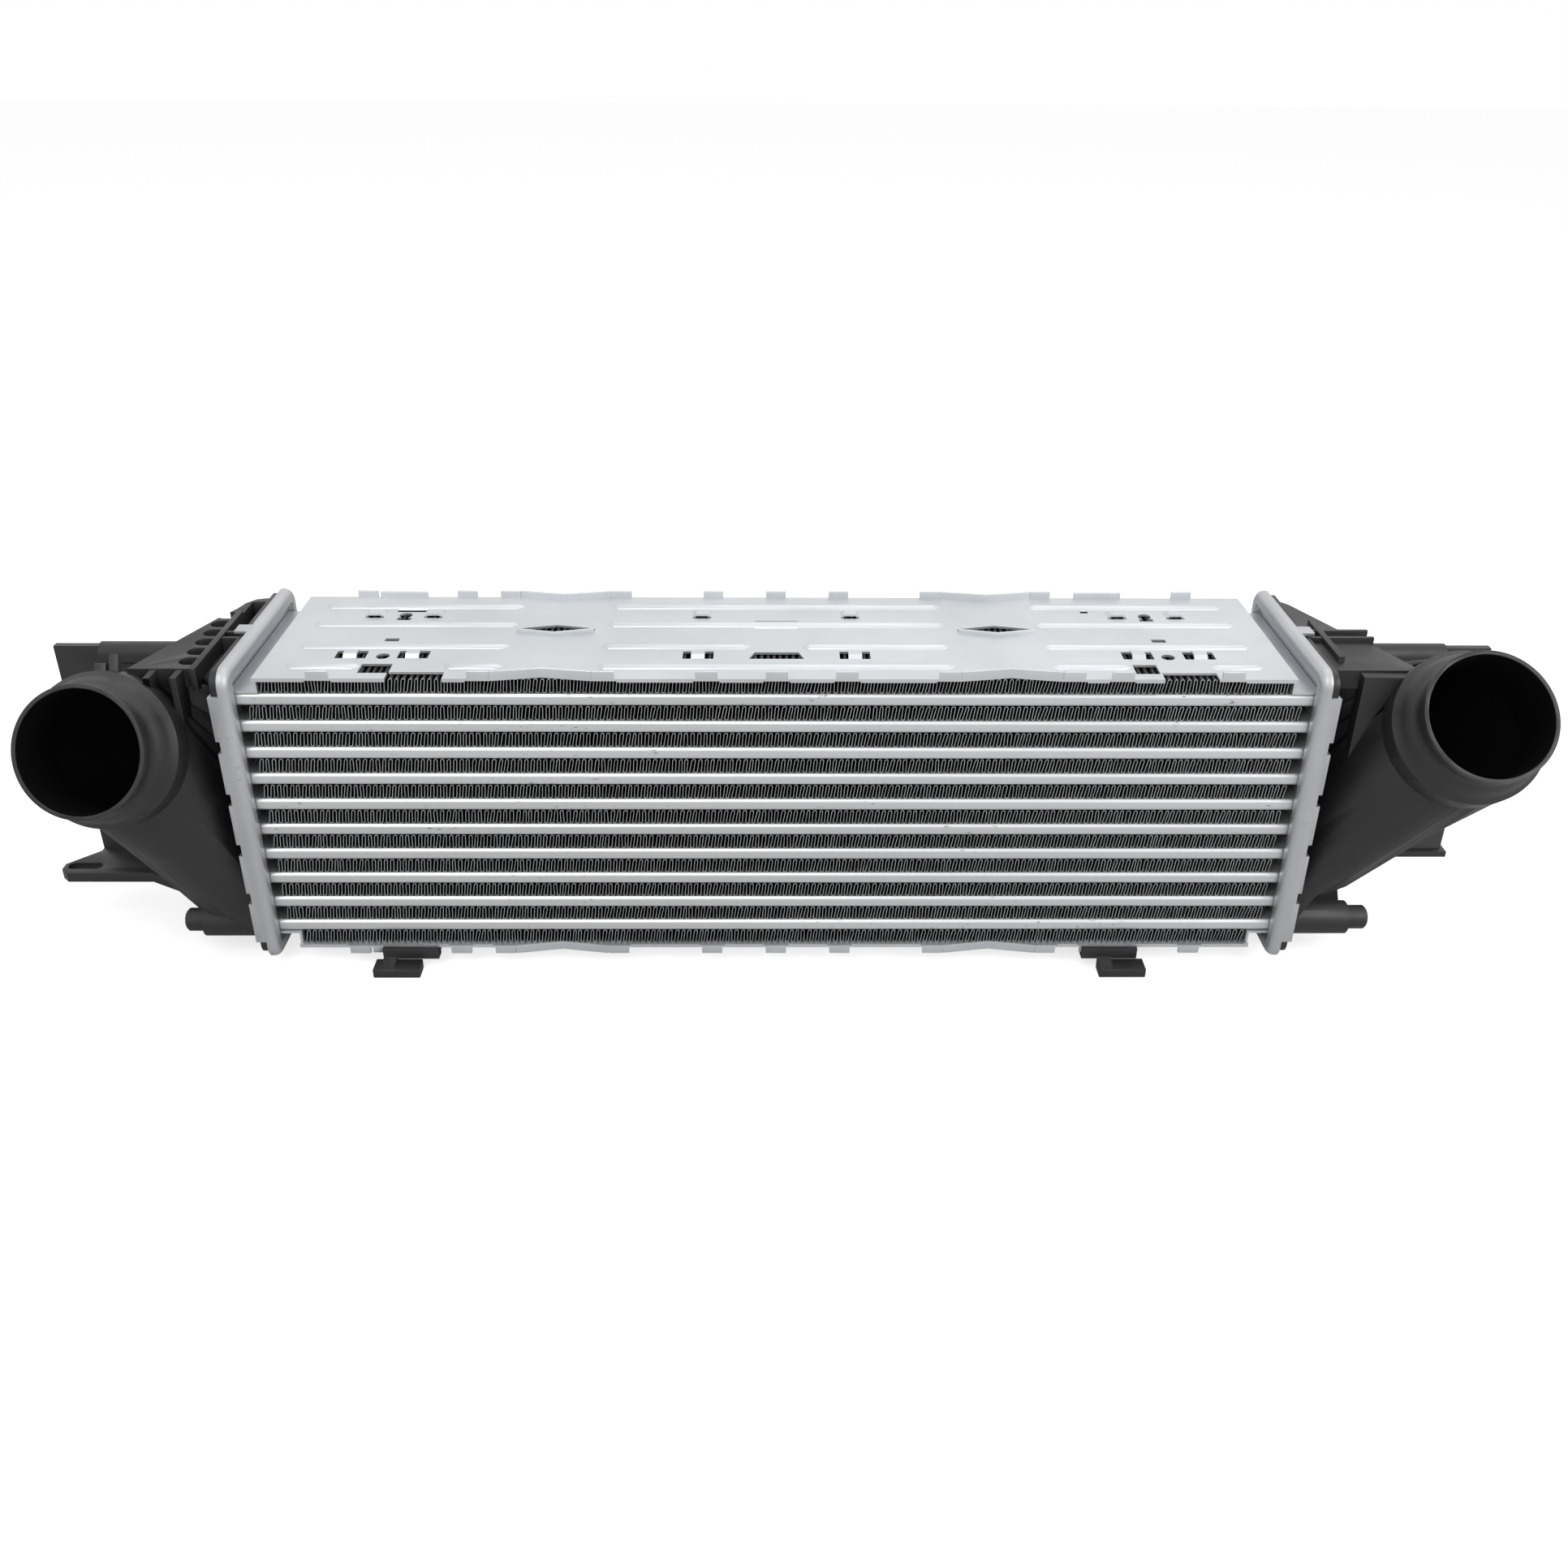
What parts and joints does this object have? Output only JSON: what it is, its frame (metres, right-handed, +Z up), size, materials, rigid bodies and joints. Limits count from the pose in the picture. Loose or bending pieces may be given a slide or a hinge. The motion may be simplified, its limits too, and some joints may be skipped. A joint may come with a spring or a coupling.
{
  "type": "charge-air intercooler",
  "caption": "Air-to-air intercooler: brazed tube-and-fin aluminium core with black moulded end tanks, angled hose spigots and mounting arms.",
  "frame": {"origin": "centre of the bounding box, at its bottom", "axes": "+X along the tubes toward the right-hand tank, -Y toward the open ports, +Z up"},
  "size_m": [0.764, 0.1592, 0.1852],
  "materials": {
    "tube_aluminium": "satin",
    "fin_aluminium": "satin",
    "header_aluminium": "satin",
    "plate_aluminium": "satin",
    "seal_rubber": "matte",
    "tank_plastic": "matte"
  },
  "bodies": {
    "root": {"tube_01": "tube_aluminium", "turbulator_01": "fin_aluminium", "tube_02": "tube_aluminium", "turbulator_02": "fin_aluminium", "tube_03": "tube_aluminium", "turbulator_03": "fin_aluminium", "tube_04": "tube_aluminium", "turbulator_04": "fin_aluminium", "tube_05": "tube_aluminium", "turbulator_05": "fin_aluminium", "tube_06": "tube_aluminium", "turbulator_06": "fin_aluminium", "tube_07": "tube_aluminium", "turbulator_07": "fin_aluminium", "tube_08": "tube_aluminium", "turbulator_08": "fin_aluminium", "tube_09": "tube_aluminium", "turbulator_09": "fin_aluminium", "tube_10": "tube_aluminium", "turbulator_10": "fin_aluminium", "fin_01": "fin_aluminium", "fin_02": "fin_aluminium", "fin_03": "fin_aluminium", "fin_04": "fin_aluminium", "fin_05": "fin_aluminium", "fin_06": "fin_aluminium", "fin_07": "fin_aluminium", "fin_08": "fin_aluminium", "fin_09": "fin_aluminium", "fin_10": "fin_aluminium", "fin_11": "fin_aluminium", "header_left": "header_aluminium", "gasket_left": "seal_rubber", "tank_left": "tank_plastic", "clip_left": "tank_plastic", "header_right": "header_aluminium", "gasket_right": "seal_rubber", "tank_right": "tank_plastic", "clip_right": "tank_plastic", "side_plate_top": "plate_aluminium", "side_plate_bottom": "plate_aluminium"}
  },
  "joints": []
}
